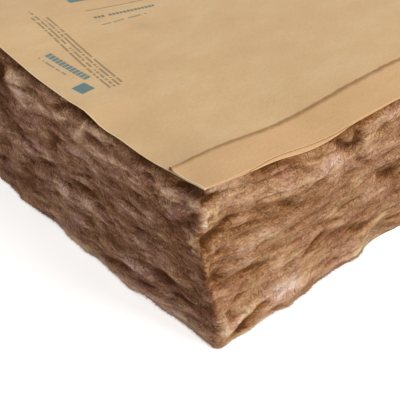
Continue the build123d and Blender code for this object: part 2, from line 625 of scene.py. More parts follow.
        (8, 100, 6, 9, 0.0, 0.8, 0.3),
        (13, 111, 9, 4, 0.0, -0.9, 0.1),
        (8, 133, 6, 3, 0.0, 0.7, 0.3),
        (78, 51, 10, 5, 0.0, 0.9, 0.0),
        (66, 37, 16, 5, -0.1, -0.9, 0.0),
        (79, 114, 12, 3.5, 0.1, 1.1, 0.1),
        (60, 126, 9, 3, -0.1, -0.9, 0.2),
        (184, 98, 9, 4, 0.0, -0.9, 0.0),
        (117, 46, 9, 4, 0.0, 0.7, 0.0),
        (128, 59, 8, 4, 0.0, -0.9, 0.0),
        (194, 40, 8, 4, 0.0, -0.7, 0.0),
        (152, 74, 10, 4, 0.0, 0.5, 0.0),
        (24, 52, 12, 5, 0.0, -0.5, 0.0),
    ),
    # mm that the wool stays back under the paper's edge: on the cut end, and elsewhere for each
    # step of the painted shade there
    "endTuck": 4.0,
    "sideTuck": 2.4,
    "tuckRange": (9.0, 2.0),  # mm below the top where that begins, and where it is full
    "shadeWarmth": 1.7,  # how much warmer the wool is for each step of the painted shade under the paper
    # how dark the painted shade is on the wool right under the paper: on the cut end, and elsewhere
    "endShade": 0.6,
    "sideShade": 0.22,
    # more of it on the long side: from the cut end, radius, strength
    "sideShades": ((5, 13, -0.35), (54, 17, 0.6), (160, 36, 0.75), (300, 60, 0.3)),
    # and less of it on the cut end: from the long side, radius, strength
    "endShades": ((248, 20, -0.3), (112, 22, 0.3), (172, 50, -0.25), (68, 44, 0.05)),
}


# The outline seen from above, counter-clockwise from the far left corner of the photographed end:
# four straight runs, each with its start, end, outward way and step, joined by quarter circles.
# Gives places, outward ways and length along it.
def planOutline():
    radius = woolSet["cornerRadius"]
    a, b = halfLength - radius, halfWidth - radius
    fine, rest, coarse = (woolSet[key] for key in ("fineStep", "endStep", "coarseStep"))
    reach, endEase, sideEase = (woolSet[key] for key in ("fineReach", "endEase", "sideEase"))
    runs = [
        ((-a, b), (-a, -b), (-1, 0),
         lambda s: fine + (rest - fine) * softStep(2 * b - s, reach - endEase, reach)),
        ((-a, -b), (a, -b), (0, -1),
         lambda s: fine + (coarse - fine) * softStep(s, reach, reach + sideEase)),
        ((a, -b), (a, b), (1, 0),
         lambda s: np.full_like(s, 2 * rest)),
        ((a, b), (-a, b), (0, 1),
         lambda s: coarse - (coarse - rest) * softStep(s, 2 * a - sideEase, 2 * a)),
    ]
    turn = np.radians([22.5, 45, 67.5])[:, None]
    places, ways = [], []
    for start, end, outward, stepAt in runs:
        start, end, outward = (np.array(value, float) for value in (start, end, outward))
        run = gradedPlaces(0, np.linalg.norm(end - start), stepAt)
        places.append(start + (end - start) * (run / run[-1])[:, None] + outward * radius)
        ways.append(np.repeat(outward[None], len(run), axis=0))
        following = np.array([-outward[1], outward[0]])  # the next run's outward way
        arcWays = np.cos(turn) * outward + np.sin(turn) * following
        places.append(end + arcWays * radius)
        ways.append(arcWays)
    places, ways = np.concatenate(places), np.concatenate(ways)
    steps = np.linalg.norm(np.diff(places, axis=0, append=places[:1]), axis=1)
    return places, ways, np.concatenate([[0], np.cumsum(steps)[:-1]])


# The section from under the batt to under the facing: inset from the outline, height as a share of
# the local height, and how much of the side's relief a row gets. Its parts are the underside, the
# quarter circle of the lower edge, the upright face, that of the upper edge, and the top, which
# sinks a little so as to stay under the paper.
def woolSection():
    low, up, step = woolSet["lowerRadius"], woolSet["upperRadius"], woolSet["rowStep"]
    lowTurn = np.radians(np.linspace(0, 90, 5)[1:])
    upTurn = np.radians(np.linspace(0, 90, 4)[1:])
    straight = np.linspace(low, woolTop - up, int((woolTop - up - low) / step))[1:]
    inset = np.concatenate([
        [60, 25, 11, low],
        low * (1 - np.sin(lowTurn)),
        0 * straight,
        up * (1 - np.cos(upTurn)),
        [up + 4, up + 10, up + 22],
        np.linspace(50, halfWidth - 4, 6),
    ])
    height = np.concatenate([
        [0, 0, 0, 0],
        low * (1 - np.cos(lowTurn)),
        straight,
        woolTop - up + up * np.sin(upTurn),
        [woolTop, woolTop - 1, woolTop - 4],
        [woolTop - 4] * 6,
    ])
    relief = np.concatenate([
        [0, 0, 0, 0.3],
        [0.6, 0.8, 1, 1],
        np.ones(len(straight)),
        [0.8, 0.5, 0.2],
        [0, 0, 0],
        [0] * 6,
    ])
    return inset, height, relief


# How far the layers of the wool are bent up or down at a place, in mm: broad waves + fine waves
# + the swirl, which fades by e^-(d / reach)^2 from the photographed corner, + the tilt, which grows
# along the cut end and fades by e^-(d / depth)^2 into the batt, - the fan, which is as strong as
# the place is above or below the middle and fades by e^-(d / reach) from the corner, - the share
# that the place's height gives of what the upper face rises there.
def layerBend(place):
    away = np.hypot(place[..., 0] - endX, place[..., 1] - sideY)
    level = place[..., 2] / woolTop
    waves = givenNoise(woolSet["broadWaves"], place) + givenNoise(woolSet["fineWaves"], place)
    swirl = givenNoise(woolSet["swirl"], place, hill(away, 0, woolSet["swirlReach"]))
    across = np.clip(place[..., 1] - sideY, 0, woolSet["tiltWidth"])
    tilt = woolSet["endTilt"] * across * hill(place[..., 0], endX, woolSet["tiltDepth"])
    fan = woolSet["fan"] * (2 * level - 1) * np.exp(-away / woolSet["fanReach"])
    rise = level * (topHeight(place[..., 0], place[..., 1]) - woolTop)
    return waves + swirl + tilt - fan - rise


# A place with its height counted along the bent layers instead of straight up.
def layerPlace(place):
    return np.stack([place[..., 0], place[..., 1], place[..., 2] + layerBend(place)], axis=-1)


# How far the side surface stands out at a place on it, in mm: lumps + layers + tufts + strands,
# minus small pits, minus the splits, which open where the bent height nears a whole number of
# spacings. Layers and splits are held back near the photographed corner by 1 - calm e^-(d / reach)^2.
# The second value leaves out the lumps and a share of the layers, and makes the painted shade and light of
# the tone.
def woolRelief(place, bent):
    away = np.hypot(place[..., 0] - endX, place[..., 1] - sideY)
    free = 1 - woolSet["cornerCalm"] * hill(away, 0, woolSet["calmReach"])
    stirred = bent + np.stack([givenNoise(stir, place) for stir in woolSet["stirs"]], axis=-1)
    lumps = givenNoise(woolSet["lumps"], place)
    layers = givenNoise(woolSet["layers"], bent, free)
    tufts = givenNoise(woolSet["tufts"], stirred)
    strands = givenNoise(woolSet["strands"], stirred)
    pitted = softStep(givenNoise(woolSet["pitNoise"], stirred), *woolSet["pitRange"])
    phase = bent[..., 2] / woolSet["splitSpacing"] + givenNoise(woolSet["splitWander"], place)
    fromSplit = np.abs(phase - np.round(phase)) * woolSet["splitSpacing"]
    opening = softStep(givenNoise(woolSet["openNoise"], place), *woolSet["openRange"])
    splits = free * woolSet["splits"] * opening * hill(fromSplit, 0, woolSet["splitWidth"])
    toned, plain = woolSet["layerShares"]
    small = toned * layers + tufts + strands - woolSet["pits"] * pitted - splits
    return small + plain * layers + lumps, small


# The light and dark marks of one face added up: each is a hill along the face times a hill in
# height about a line that rises along it and wanders, broken up by noise. Gives tone and warmth.
def faceMarks(marks, along, z, place):
    tone, warmth = np.zeros_like(z), np.zeros_like(z)
    ragged = 1 + givenNoise(woolSet["markBreaks"], place)
    wander = givenNoise(woolSet["markWander"], place)
    for centre, level, reach, reachUp, rise, strength, hue in marks:
        fromLine = z - level - rise * (along - centre) + wander
        cover = hill(along, centre, reach) * hill(fromLine, 0, reachUp) * ragged
        tone += strength * cover
        warmth += hue * cover
    return tone, warmth


# The whole surface: outline places scaled inwards by the inset, lifted to the height, and moved
# outwards by the relief, the listed swells and the depth of the marks, less the tuck at the
# floor and the one under the paper. Then the upright corner sways by a cosine over the height.
# The tone is the small relief, as painted shade in its hollows and painted light on its rises, plus the
# marks, minus the painted shade under the paper.
def woolSurface():
    outline, ways, run = planOutline()
    inset, height, relief = woolSection()
    half = np.array([halfLength, halfWidth])
    plan = outline[:, None, :] * ((half - inset[:, None]) / half)[None]
    top = topHeight(plan[..., 0], plan[..., 1])
    z = height[None] / woolTop * top
    place = np.concatenate([plan, z[..., None]], axis=-1)
    bent = layerPlace(place)
    out, small = woolRelief(place, bent)
    along, across = place[..., 0] - endX, place[..., 1] - sideY
    onSide = np.clip(-ways[:, 1], 0, 1)[:, None]  # 1 on the photographed long side
    onEnd = np.clip(-ways[:, 0], 0, 1)[:, None]  # 1 on the photographed cut end
    out = addMounds(out, woolSet["sideSwells"], along, z, onSide)
    out = addMounds(out, woolSet["endSwells"], across, z, onEnd)
    sideTone, sideWarmth = faceMarks(woolSet["sideMarks"], along, z, place)
    endTone, endWarmth = faceMarks(woolSet["endMarks"], across, z, place)
    marks = onSide * sideTone + onEnd * endTone
    elsewhere = 1 - onSide - onEnd + onSide * softStep(along, *woolSet["farMarkRange"])
    marks = marks + givenNoise(woolSet["farMarks"], bent, elsewhere)
    depth = np.where(marks > 0, woolSet["markSwell"], woolSet["markDepth"])
    out = out + depth * np.clip(marks, -1, 1) * softStep(z, *woolSet["markRise"])
    out = out - woolSet["lowerTuck"] * (1 - softStep(z, 0, woolSet["tuckRise"]))
    # the tuck, and the painted shade on the wool under the paper's edge
    endShade = addHills(woolSet["endShade"] + 0 * z, woolSet["endShades"], across)
    sideShade = addHills(woolSet["sideShade"] + 0 * z, woolSet["sideShades"], along, onSide)
    shade = onEnd * endShade + (1 - onEnd) * sideShade
    tuck = onEnd * woolSet["endTuck"] + (1 - onEnd) * woolSet["sideTuck"] * sideShade
    uneven = 1 + givenNoise(woolSet["tuckBreaks"], place)
    tuckStart, tuckFull = woolSet["tuckRange"]
    nearPaper = softStep(z, top - tuckStart, top - tuckFull)
    out = (out - uneven * tuck * nearPaper) * relief[None]
    place[..., :2] += out[..., None] * ways[:, None, :]
    swing = np.cos(np.pi * (z - woolSet["swingStart"]) / woolSet["swingRun"])
    sway = woolSet["cornerSwing"] * swing * relief[None]
    sway = sway * hill(np.hypot(along, across), 0, woolSet["cornerReach"])
    place[..., :2] += sway[..., None] * np.array(woolSet["swingWay"])
    place[..., 2] = np.maximum(place[..., 2], 0)
    # painted shade: the wool is darker and warmer right under the paper's edge, where the paper shades it
    paintedShadeUnderPaper = uneven * shade * nearPaper
    warmth = onSide * sideWarmth + onEnd * endWarmth + woolSet["shadeWarmth"] * paintedShadeUnderPaper
    # painted shade and light from the small relief: darker in its hollows, lighter on its rises
    paintedReliefShade = np.clip(small / woolSet["hollowDepth"], *woolSet["hollowTones"])
    tone = paintedReliefShade * relief[None] + marks - paintedShadeUnderPaper
    return {"place": place, "ways": ways, "run": run, "tone": tone, "warmth": warmth, "bent": bent}


# The wool's mesh: the surface's columns joined all round, with its first and last rows closed by
# one face each.
def makeWool(material):
    surface = woolSurface()
    columns, rows = surface["tone"].shape
    quads = gridQuads(columns, rows, wrap=True)
    lastRing = (np.arange(columns) * rows + rows - 1)[None]
    firstRing = (np.arange(columns) * rows)[::-1][None]
    values = {
        "tone": surface["tone"].ravel(),
        "warmth": surface["warmth"].ravel(),
        "cutFace": np.repeat(np.abs(surface["ways"][:, 0]), rows),
        "loose": np.zeros(columns * rows),
        "layerPlace": (surface["bent"] * mm).reshape(-1, 3),
    }
    faces = [quads, lastRing, firstRing]
    wool = makeMesh("glassWool", surface["place"].reshape(-1, 3), faces, material, values)
    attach(wool, "root")
    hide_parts("glass_wool_blanket")
    print("wool:", columns, "by", rows, "points,", 2 * len(quads), "triangles")
    return surface


# Thin threads, 1 in the middle and 0 beside: where noise of the place, its height leant over by a
# slope, crosses its middle value n = 1/2, worked out as 1 - |2n - 1| / width.
def threadNode(tree, place, slope, perMetre, width):
    parts = addNode(tree, "ShaderNodeSeparateXYZ", {0: place}).outputs
    lean = mathNode(tree, "ADD", parts["X"], parts["Y"])
    height = mathNode(tree, "MULTIPLY_ADD", lean, slope, parts["Z"])
    turned = addNode(tree, "ShaderNodeCombineXYZ", {0: parts["X"], 1: parts["Y"], 2: height}).outputs[0]
    grain = noiseNode(tree, turned, perMetre, 1.5, 0.5, 0.5, (0.0, 1.0))
    fromMiddle = mathNode(tree, "ABSOLUTE", mathNode(tree, "MULTIPLY_ADD", grain, 2.0, -1.0))
    return mathNode(tree, "MULTIPLY_ADD", fromMiddle, -1.0 / width, 1.0, clamp=True)


woolLookSet = {
    # how the place is shaken: noise per metre, and metres that it pushes along, across and up
    "shake": (60.0, (0.007, 0.007, 0.0035)),
    "matting": (240.0, (0.003, 0.003, 0.0015)),
    # noises: per metre along, across and up, detail, roughness, distortion, spread
    "streaks": ((30, 30, 180), 6.0, 0.66, 0.2),
    "fineStreaks": ((80, 80, 640), 4.0, 0.6),
    "clumps": ((64, 64, 260), 5.0, 0.64, 0.2),
    "patches": ((11, 11, 44), 3.0, 0.55, 0.3),
    "specks": ((480, 480, 760), 4.0, 0.75),
    "roughness": ((56, 56, 130), 3.0, 0.5, 0.3),
    "hues": ((26, 26, 60), 3.0, 0.55, 0.6, (0.36, 0.64)),
    "rosiness": ((60, 60, 110), 3.0, 0.6, 0.4, (0.34, 0.66)),
    # threads: slope, noise per metre, width
    "lightThreads": [(slope, (70, 70, 420), 0.1) for slope in (0.0, 0.25, -0.25, 0.7, -0.6)],
    "darkThreads": [(0.15, (45, 45, 300), 0.08), (-0.3, (60, 60, 300), 0.08)],
    # colours by tone, on the long side and on the cut face
    "warm": [(0.0, (88, 52, 24)), (0.2, (119, 76, 43)), (0.4, (155, 113, 80)),
             (0.6, (184, 146, 114)), (0.8, (205, 172, 144)), (1.0, (226, 208, 188))],
    "cool": [(0.0, (90, 53, 28)), (0.2, (115, 73, 47)), (0.4, (146, 104, 79)),
             (0.6, (181, 140, 115)), (0.8, (216, 179, 154)), (1.0, (243, 215, 192))],
    # tints that the colour is multiplied by: tan and pinkish grey, and olive and rosy
    "tints": ((1.02, 1.01, 0.89, 1.0), (0.99, 0.97, 1.06, 1.0)),
    "blushes": ((0.973, 1.027, 0.99, 1.0), (1.027, 0.973, 1.01, 1.0)),
}


# The wool's colours, used by the matted face and by the loose fibres. The tone is a sum of broad and
# fine streaks along the layers, clumps, slow patches, specks, light threads, dark threads taken
# away, the mesh's tone, which carries painted shade in the hollows and under the paper and painted
# light on the rises and in some marks, and a loose fibre's own shade, lighter at the fringe as
# painted light, with more contrast on the cut face. A ramp turns it into a colour, which noise and
# the warmth, raised in the painted shade, then tint. The height is fine streaks * 0.8 + streaks
# + clumps * 0.7.
def woolPatternGroup():
    look = woolLookSet
    numbers = [(name, "Float") for name in ("Tone", "Warmth", "Cut Face", "Loose")]
    tree, given = newGroup("woolPattern", [*numbers, ("Place", "Vector")],
                           [("Color", "Color"), ("Height", "Float")])
    place, cutFace = given["Place"], given["Cut Face"]
    bent = shakenPlace(tree, place, *look["shake"])
    matted = shakenPlace(tree, bent, *look["matting"])
    streaks = noiseNode(tree, bent, *look["streaks"])
    fineStreaks = noiseNode(tree, bent, *look["fineStreaks"])
    clumps = noiseNode(tree, matted, *look["clumps"])
    patches = noiseNode(tree, place, *look["patches"])
    specks = mathNode(tree, "SUBTRACT", noiseNode(tree, matted, *look["specks"]), 0.5)
    # specks are strong in some places and weak in others, and weaker on the light veils
    veil = mathNode(tree, "MAXIMUM", mathNode(tree, "SUBTRACT", given["Tone"], cutFace), 0.0)
    veiled = mathNode(tree, "MAXIMUM", mathNode(tree, "MULTIPLY_ADD", veil, -0.55, 1.0), 0.4)
    leastShare = mathNode(tree, "MULTIPLY_ADD", cutFace, 0.04, 0.14)
    rough = noiseNode(tree, place, *look["roughness"])
    speckShare = mathNode(tree, "MULTIPLY_ADD", rough, 0.4, leastShare)
    speckShare = mathNode(tree, "MULTIPLY", speckShare, veiled)
    elsewhere = vectorNode(tree, "ADD", bent, (3.1, 1.7, 0.9))  # so the dark threads lie apart
    light, dark = 0.0, 0.0
    for thread in look["lightThreads"]:
        light = mathNode(tree, "MAXIMUM", threadNode(tree, bent, *thread), light)
    for thread in look["darkThreads"]:
        dark = mathNode(tree, "MAXIMUM", threadNode(tree, elsewhere, *thread), dark)
    tone = 0.11
    for part, share in ((streaks, 0.26), (fineStreaks, 0.14), (clumps, 0.18), (patches, 0.16),
                        (light, 0.12), (dark, -0.06), (specks, speckShare),
                        (given["Tone"], 0.36), (given["Loose"], 0.12)):
        tone = mathNode(tree, "MULTIPLY_ADD", part, share, tone)
    contrast = mathNode(tree, "MULTIPLY_ADD", cutFace, 0.2, 1.0)
    middle = mathNode(tree, "MULTIPLY_ADD", cutFace, -0.06, 0.465)
    fromMiddle = mathNode(tree, "SUBTRACT", tone, 0.5)
    tone = mathNode(tree, "MULTIPLY_ADD", fromMiddle, contrast, middle)
    face = mixColours(tree, cutFace, rampNode(tree, tone, look["warm"]), rampNode(tree, tone, look["cool"]))
    # both tints are noise about its middle, stronger on the cut face, and the first less the warmth
    spread = mathNode(tree, "MULTIPLY_ADD", cutFace, 0.3, 0.8)
    hue = mathNode(tree, "SUBTRACT", noiseNode(tree, place, *look["hues"]), 0.5)
    hue = mathNode(tree, "MULTIPLY_ADD", given["Warmth"], -0.8, hue)
    hue = mathNode(tree, "MULTIPLY_ADD", hue, spread, 0.5)
    rosy = mathNode(tree, "SUBTRACT", noiseNode(tree, place, *look["rosiness"]), 0.5)
    rosy = mathNode(tree, "MULTIPLY_ADD", rosy, spread, 0.5)
    tint = vectorNode(tree, "MULTIPLY", mixColours(tree, hue, *look["tints"], False),
                      mixColours(tree, rosy, *look["blushes"], False))
    height = mathNode(tree, "MULTIPLY_ADD", fineStreaks, 0.8, streaks)
    height = mathNode(tree, "MULTIPLY_ADD", clumps, 0.7, height)
    addNode(tree, "NodeGroupOutput", {"Color": vectorNode(tree, "MULTIPLY", face, tint), "Height": height})
    return tree


# Wool: the pattern's colour on a rough shader with a slight sheen, and its height as a bump.
def woolMaterial(name, group, bumpDistance):
    material, tree, shader = newMaterial(name, {
        "Roughness": 0.85, "Specular IOR Level": 0.05, "Sheen Weight": 0.03, "Sheen Roughness": 0.6,
    })
    inputs = {"Tone": attributeNode(tree, "tone"), "Warmth": attributeNode(tree, "warmth"),
              "Cut Face": attributeNode(tree, "cutFace"), "Loose": attributeNode(tree, "loose"),
              "Place": attributeNode(tree, "layerPlace", "Vector")}
    pattern = addNode(tree, "ShaderNodeGroup", inputs, node_tree=group).outputs
    bump = addNode(tree, "ShaderNodeBump",
                   {"Strength": 0.8, "Distance": bumpDistance, "Height": pattern["Height"]})
    tree.links.new(pattern["Color"], shader.inputs["Base Color"])
    tree.links.new(bump.outputs[0], shader.inputs["Normal"])
    return material


# The loose fibres on the wool

fibreSet = {
    "length": (3.0, 6.5, 30.0),  # mm: shortest, middle, longest
    "lengthSpread": 0.55,
    "thickness": (0.14, 0.4),  # mm
    "sink": 0.25,  # mm that a strand lies in the wool
    "lift": (0.05, 0.8),  # mm that its middle stands off from there
    "tipLift": 3.0,  # mm that one tip may stand off
    "clearance": 0.3,  # mm over the floor that no strand goes below
    "slope": 28.0,  # degrees that a strand leaves the run of the layers
    "cornerSlope": 45.0,  # degrees more at the upright corners
    "cornerShort": 0.5,  # share of the length that is missing there
    "cornerReach": 14.0,
    "bow": 0.26,  # how far a strand bows, as a share of its length
    "wave": 0.12,  # how far it waves from side to side
    "strayShare": 0.35,  # strands that lie at any slope
    "fringeLevel": 0.03,  # how high up the face the lower edge's fringe reaches, as a share
    "fringeReach": (0.4, 3.8),  # mm that a strand of the fringe sticks out over the floor
    "shades": (-0.5, 1.1),  # steps darker or lighter than the wool below
    # the fringe's strands are lighter still: painted light, for light through thin strands at the floor
    "fringePaintedLight": (0.6, 3.0),
    # mm of each face that get the dense strands and the dense fringe, from the photographed corner
    "denseEnd": 310.0,
    "denseSide": 400.0,
    "fringeSide": 280.0,
}


# Where places on the side surface lie in its grid, given the length along the outline and the share
# of the height: the four nearest points, and the share of each, which falls with the distance.
def faceBlend(surface, runs, levels):
    place, run = surface["place"], surface["run"]
    rows = np.arange(4, place.shape[1] - 10)  # all but those under the batt and under the paper
    faceRow = 20  # a row of the upright face, where the gap from the last column to the first is taken
    whole = run[-1] + np.linalg.norm(place[0, faceRow, :2] - place[-1, faceRow, :2])
    column = np.interp(np.mod(runs, whole), np.append(run, whole), np.arange(len(run) + 1))
    row = np.interp(levels, np.linspace(0, 1, len(rows)), rows)
    c0, r0 = np.floor(column).astype(int) % len(run), np.floor(row).astype(int)
    c1 = (c0 + 1) % len(run)
    u, v = column - np.floor(column), row - r0
    return [(c0, r0, (1 - u) * (1 - v)), (c1, r0, u * (1 - v)),
            (c0, r0 + 1, (1 - u) * v), (c1, r0 + 1, u * v)]


# A value at such places: that of each of the four points times its share, added up.
def blended(values, blend):
    return sum(values[column, row] * (share[..., None] if values.ndim == 3 else share)
               for column, row, share in blend)


# Three-sided spindles about the given lines, from tip to tip: at each inner point a ring of three,
# the radius off the line at 90, 210 and 330 degrees. Gives points, triangles and quads.
def spindles(line, outward, radius):
    count, rings = line.shape[0], line.shape[1] - 2
    tangent = np.gradient(line, axis=1)
    tangent /= np.linalg.norm(tangent, axis=-1)[..., None] + 1e-9
    sideWay = np.cross(tangent, outward)
    sideWay /= np.linalg.norm(sideWay, axis=-1)[..., None] + 1e-9
    upWay = np.cross(sideWay, tangent)
    turn = np.radians([90, 210, 330])[:, None]
    around = np.cos(turn) * sideWay[:, 1:-1, None] + np.sin(turn) * upWay[:, 1:-1, None]
    ring = line[:, 1:-1, None] + radius[:, 1:-1, None, None] * around
    points = np.concatenate([line[:, :1], ring.reshape(count, 3 * rings, 3), line[:, -1:]], axis=1)
    each = points.shape[1]
    corner = np.arange(3)
    following = (corner + 1) % 3
    firstTip = np.stack([0 * corner, 1 + following, 1 + corner], axis=-1)
    lastTip = np.stack([0 * corner + each - 1, each - 4 + corner, each - 4 + following], axis=-1)
    band = np.stack([1 + corner, 1 + following, 4 + following, 4 + corner], axis=-1)
    bands = np.concatenate([band + 3 * k for k in range(rings - 1)])
    base = np.arange(count)[:, None, None] * each
    triangles = (base + np.concatenate([firstTip, lastTip])[None]).reshape(-1, 3)
    return points, triangles, (base + bands[None]).reshape(-1, 4)


# Strands over one stretch of the outline. A length is the middle one times e to a random number,
# kept between the shortest and the longest, times the scale. With t from -1 to 1, a strand of
# length l goes l t / 2 along its own line and l (bow (t^2 - 0.4) + wave sin(pi t)) off it, over the
# face. It stands off the wool by the lift times 1 - t^2, and at one tip by the tip lift times t^2,
# less the sink, and its radius is that of its middle times the root of 1 - t^2. The strands of the
# fringe start along the lower edge and all stick out at one tip.
def makeFibres(name, surface, runFrom, runTo, count, rings, scale, seed, material, fringe):
    random = np.random.default_rng(seed)
    start = random.uniform(runFrom, runTo, count)
    level = random.uniform(0.01, fibreSet["fringeLevel"] if fringe else 0.99, count)
    low, middle, high = fibreSet["length"]
    length = np.clip(middle * np.exp(random.normal(0, fibreSet["lengthSpread"], count)), low, high) * scale
    corners = np.cumsum([0, 2 * halfWidth, 2 * halfLength, 2 * halfWidth, 2 * halfLength])
    fromCorner = np.abs(start[:, None] - corners).min(axis=1)
    nearCorner = hill(fromCorner, 0, fibreSet["cornerReach"])
    length = length * (1 - fibreSet["cornerShort"] * nearCorner)
    # the layers' slope, over a few mm, and a random one added to it or put in its place
    span = 4
    blend = faceBlend(surface, np.stack([start, start + span]), np.stack([level, level]))
    root, ahead = blended(surface["place"], blend)
    slope = np.arctan((layerBend(root) - layerBend(ahead)) / span)
    slope = slope + np.radians(random.normal(0, fibreSet["slope"] + fibreSet["cornerSlope"] * nearCorner))
    stray = random.uniform(size=count) < fibreSet["strayShare"]
    slope = np.where(stray, random.uniform(-np.pi / 2, np.pi / 2, count), slope)[:, None]
    t = np.linspace(-1, 1, rings + 2)[None]
    off = (fibreSet["bow"] * random.normal(size=(count, 1)) * (t**2 - 0.4)
           + fibreSet["wave"] * random.normal(size=(count, 1)) * np.sin(np.pi * t))
    runs = start[:, None] + length[:, None] * (t / 2 * np.cos(slope) - off * np.sin(slope))
    levels = level[:, None] + length[:, None] * (t / 2 * np.sin(slope) + off * np.cos(slope)) / woolTop
    blend = faceBlend(surface, runs, np.clip(levels, 0, 1))
    ways = surface["ways"][blend[0][0]]
    outward = np.concatenate([ways, np.zeros((*ways.shape[:-1], 1))], axis=-1)
    lift = random.uniform(*fibreSet["lift"], (count, 1)) * (1 - t**2)
    tips = fibreSet["tipLift"] * random.uniform(size=(count, 1)) ** 3 * random.choice([0, 1], (count, 1))
    if fringe:
        tips = random.uniform(*fibreSet["fringeReach"], (count, 1))
    away = lift - fibreSet["sink"] + tips * np.clip(t, 0, 1) ** 2
    line = blended(surface["place"], blend) + outward * away[..., None]
    line[..., 2] = np.clip(line[..., 2], fibreSet["clearance"], None)
    radius = random.uniform(*fibreSet["thickness"], (count, 1)) / 2 * scale * np.sqrt(1 - t**2)
    points, triangles, quads = spindles(line, outward, radius)
    # each strand has one value of everything, that at its first ring
    # the fringe's strands get the lighter steps, a painted light
    loose = random.uniform(*fibreSet["fringePaintedLight" if fringe else "shades"], count)
    cutFace = np.abs(outward[:, 1, 0])
    each = points.shape[1]
    values = {
        "tone": np.repeat(blended(surface["tone"], blend)[:, 1], each),
        "warmth": np.repeat(blended(surface["warmth"], blend)[:, 1], each),
        "cutFace": np.repeat(cutFace, each),
        "loose": np.repeat(loose, each),
        "layerPlace": np.repeat(blended(surface["bent"], blend)[:, 1] * mm, each, axis=0),
    }
    fibres = makeMesh(name, points.reshape(-1, 3), [triangles, quads], material, values)
    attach(fibres, "root")
    print(name + ":", count, "strands,", len(triangles) + 2 * len(quads), "triangles")


# The kraft facing

paperSet = {
    "thickness": 0.3,  # mm
    "air": 0.1,  # mm between the wool and the paper
    "sideIn": 0.3,  # mm that the outer fold stays inside the wool's side
    "flangeWidth": 40.0,
    "flangeWander": (0.5, 45, 61, 2),  # how the inner fold strays: mm, size, seed, layers of noise
    "flangeHills": ((38, 26, 1.6), (158, 48, -2.8)),  # middle along, radius along, mm more width
    "pleatGap": 0.15,  # mm between two layers of the pleat
    "pleatLift": 1.3,  # mm that the pleat stands open over the sheet at its cut ends
    "liftReach": 14.0,
    "loopLift": 1.2,  # mm that the inner fold curls up at its very end
    "loopWidth": 0.1,  # how wide that is, as a share of the flange
    "setback": 0.1,  # mm from the flange's free edge to the outer fold
    "setbackHills": ((87, 38, 5.2),),  # middle along, radius along, mm more of it
    "setbackWander": 1.0,  # mm more for each mm that the inner fold strays
    "setbackRange": (200.0, 300.0),  # mm from the ends where that begins, and where it is full
    "rim": 0.8,  # mm, the pale rim of a cut edge
    "rimBlend": 0.3,  # mm beside it
    "freeRim": 0.2,  # how pale the flange's free edge is beside that
    # the rim is painted dark in the inner fold's loop, a painted shadow in its opening: by how much,
    # and the middle and radius of that in mm past the fold
    "loopShade": (2.0, 0.5, 3.2),
    # the painted highlight and shadow line past the free edge are held back by some mm where the setback is
    # small
    "edgeFade": 1.4,
    "edgeFadeRange": (0.3, 1.8),  # mm of setback where that is full, and where it is gone
    # how far the outer fold of the near side stays in: middle along, radius along, mm
    "insets": ((0, 8, 1.6), (66, 22, 2.9), (142, 14, 1.1)),
    "edgeWander": (0.9, 34, 71, 4),  # how its cut end strays from straight: mm, size, seed, layers
    "cutSkew": 2.0,  # mm that the cut end stands out at the near side
    "skewWidth": 18.0,
    "endReach": 6.0,  # mm along the batt over which the straying, the skew and the curl fade
    "fineStep": 4.0,
    "coarseStep": 24.0,
    "fineReach": 330.0,
    "stepEase": 250.0,  # mm past that reach over which the step grows
    "fieldStep": 9.0,
    # soft creases: middle along and across, turn in degrees, half length, half width, mm high
    "creases": (
        (136, 222, -16, 62, 2.5, 0.5),
        (124, 221, -70, 28, 2.0, 0.3),
        (250, 130, -6, 70, 2.5, 0.3),
        (620, 330, 8, 150, 3.0, 0.5),
        (1240, 200, -5, 220, 3.0, 0.5),
        (1800, 380, 4, 190, 3.0, 0.5),
    ),
    # screen colours: two ramps, then the painted shadow along the inner fold, the paper past the free
    # edge, paler as a painted highlight, and the painted shadow line there, the pale rim, the painted
    # shadow in the inner fold's loop and the coat under the sheet
    "field": [(0.0, (204, 172, 131)), (0.5, (209, 177, 135)), (1.0, (212, 184, 144))],
    "flange": [(0.0, (206, 168, 123)), (1.0, (214, 176, 132))],
    "foldShadowLine": (158, 119, 76),
    "pastEdge": (220, 180, 138),
    "edgeShadowLine": (118, 80, 46),
    "paleRim": (246, 222, 186),
    "loopShadow": (66, 44, 28),
    "coat": (58, 44, 34),
    # noises: per metre along, across and up, detail, roughness
    "pulp": ((260, 700, 500), 4.0, 0.6),
    "blotches": ((22, 34, 30), 3.0, 0.55),
    "foldNoise": ((60, 8, 8), 3.0, 0.6),
    "foldWobble": ((110, 8, 8), 3.0, 0.6),
}


# One half of the section, from the middle of the sheet out to the side, round the outer fold,
# back to the inner fold and out again to the free edge. Gives the distance from the middle, the
# height over the wool, the layer, and how much a point follows the inner fold and the free edge.
def paperSection():
    gap, flange = paperSet["pleatGap"], paperSet["flangeWidth"]
    fold = (gap + paperSet["thickness"]) / 2
    side = halfWidth - paperSet["sideIn"]
    turn = np.radians(np.linspace(-90, 90, 7))[1:]
    field = np.linspace(0, side - fold, int(side / paperSet["fieldStep"]))
    outer = side - fold + fold * np.cos(turn)
    back = np.linspace(side - fold, side - flange + fold, 9)[1:]
    inner = side - flange + fold - fold * np.cos(turn)
    rim = side - paperSet["rim"]
    out = np.linspace(side - flange + fold, rim - paperSet["rimBlend"], 10)[1:]
    out = np.concatenate([out, [rim, side]])
    distance = np.concatenate([field, outer, back, inner, out])
    height = np.concatenate([0 * field, fold + fold * np.sin(turn), 0 * back + 2 * fold,
                             3 * fold + fold * np.sin(turn), 0 * out + 4 * fold])
    layer = np.concatenate([0 * field, 0 * outer + 0.5, 0 * back + 1, 0 * inner + 1.5, 0 * out + 2])
    fromFold = (side - distance) / flange
    foldShare = np.where(layer >= 1, fromFold, 0)
    edgeShare = np.where(layer == 2, 1 - fromFold, 0)
    return distance, height, layer, foldShare, edgeShare


